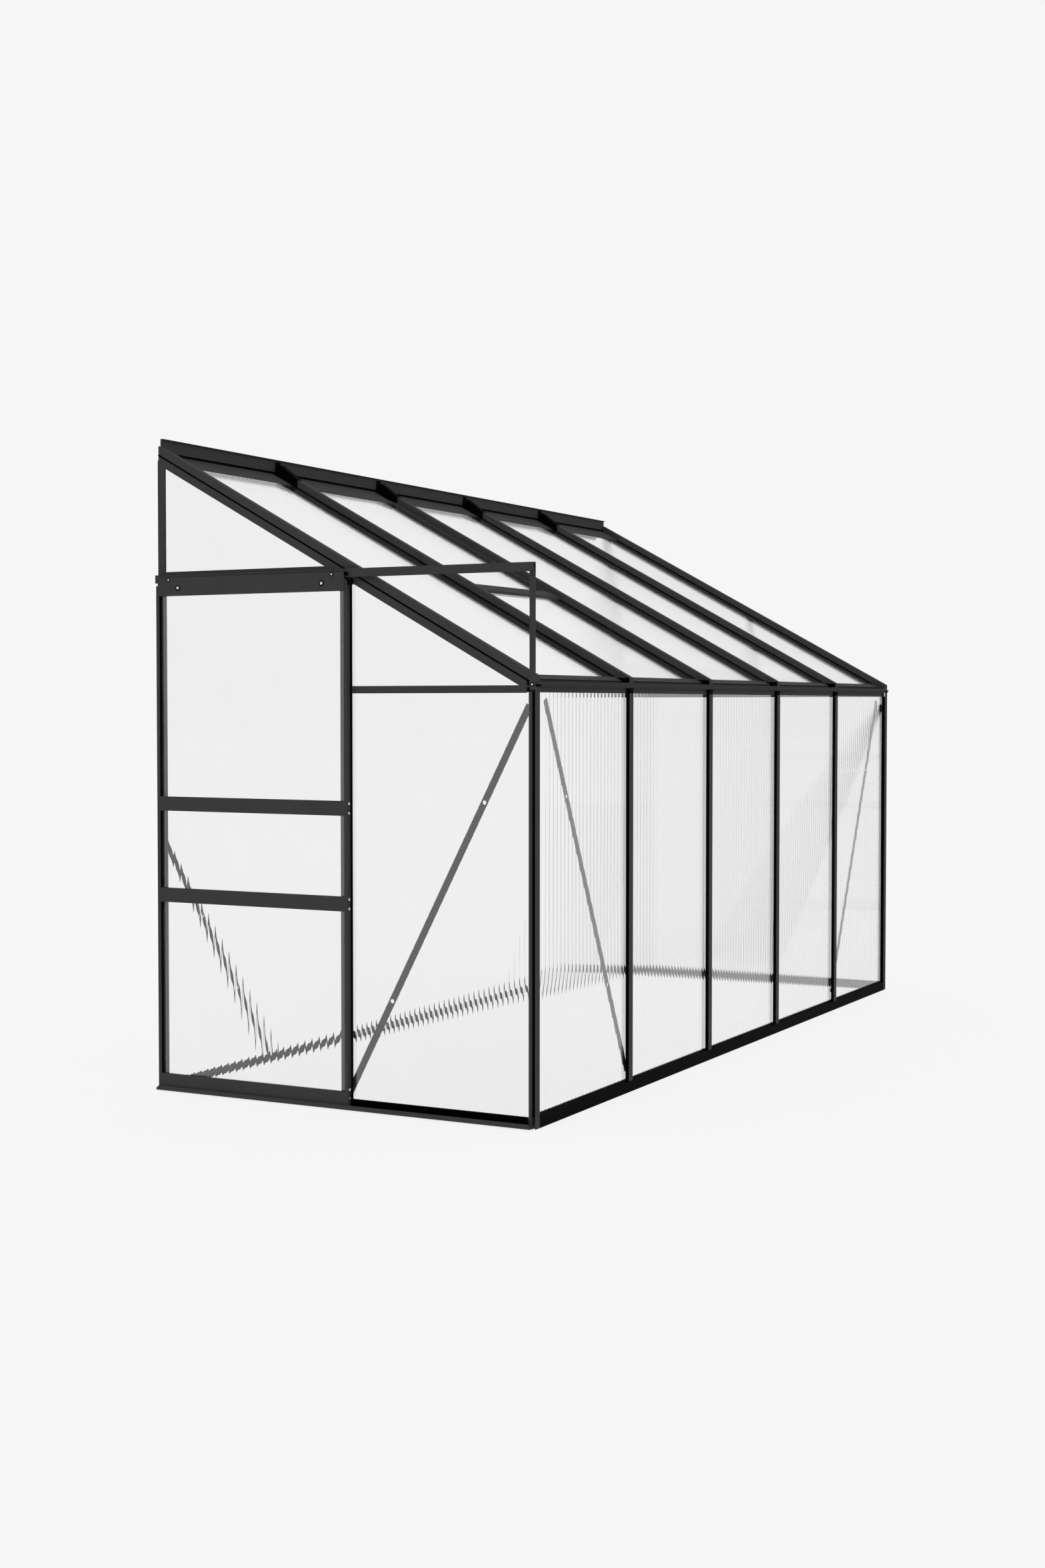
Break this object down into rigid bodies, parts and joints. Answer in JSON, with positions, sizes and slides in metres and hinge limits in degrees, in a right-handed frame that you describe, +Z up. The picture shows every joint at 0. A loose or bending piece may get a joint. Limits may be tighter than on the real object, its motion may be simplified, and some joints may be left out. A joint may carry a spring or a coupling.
{
  "type": "lean-to greenhouse",
  "caption": "Lean-to greenhouse with dark grey aluminium glazing bars, clear twin-wall sheets, a roof window and a sliding door in its gable; the back is open for a house wall.",
  "frame": {"origin": "on the ground, in the middle of the whole outline's length and depth", "axes": "+X along the low front wall, away from the gable with the door; +Y from the front wall to the house wall; +Z up"},
  "size_m": [3.132, 1.265, 1.9375],
  "materials": {
    "frame_paint": "satin",
    "twin_wall_sheet": "gloss",
    "black_seal": "matte",
    "zinc_bolt": "satin",
    "black_plastic": "matte"
  },
  "bodies": {
    "greenhouse": {"back_braces": "frame_paint", "base_rail_back": "frame_paint", "base_rail_front": "frame_paint", "base_rail_left": "frame_paint", "base_rail_right": "frame_paint", "door_guide_rail": "frame_paint", "door_head_bar": "frame_paint", "door_track": "frame_paint", "eave_beam": "frame_paint", "front_braces": "frame_paint", "front_corner_post_left": "frame_paint", "front_corner_post_right": "frame_paint", "front_panes": "twin_wall_sheet", "front_post_caps": "black_plastic", "front_posts": "frame_paint", "front_seals": "black_seal", "gable_braces": "frame_paint", "gable_panes_left": "twin_wall_sheet", "gable_panes_right": "twin_wall_sheet", "gable_posts": "frame_paint", "gable_rails": "frame_paint", "rafter_end_caps": "black_plastic", "rafter_end_left": "frame_paint", "rafter_end_right": "frame_paint", "rafters": "frame_paint", "ridge_bar": "frame_paint", "roof_edge_strip": "frame_paint", "roof_panes": "twin_wall_sheet", "track_stay": "frame_paint", "track_stay_bolt": "zinc_bolt", "wall_plate": "frame_paint", "wall_post_left": "frame_paint", "wall_post_right": "frame_paint", "window_frame": "frame_paint", "window_pane": "twin_wall_sheet"},
    "door": {"door_bolts": "zinc_bolt", "door_bottom_rail": "frame_paint", "door_buffers": "black_plastic", "door_hanger_plate": "frame_paint", "door_middle_rails": "frame_paint", "door_panes": "twin_wall_sheet", "door_rollers": "black_plastic", "door_seals": "black_seal", "door_stiles": "frame_paint", "door_top_rail": "frame_paint"}
  },
  "joints": [
    {"name": "door_slide", "type": "slide", "parent": "greenhouse", "child": "door", "axis": [0, -1, 0], "range_m": [0, 0.55]}
  ]
}
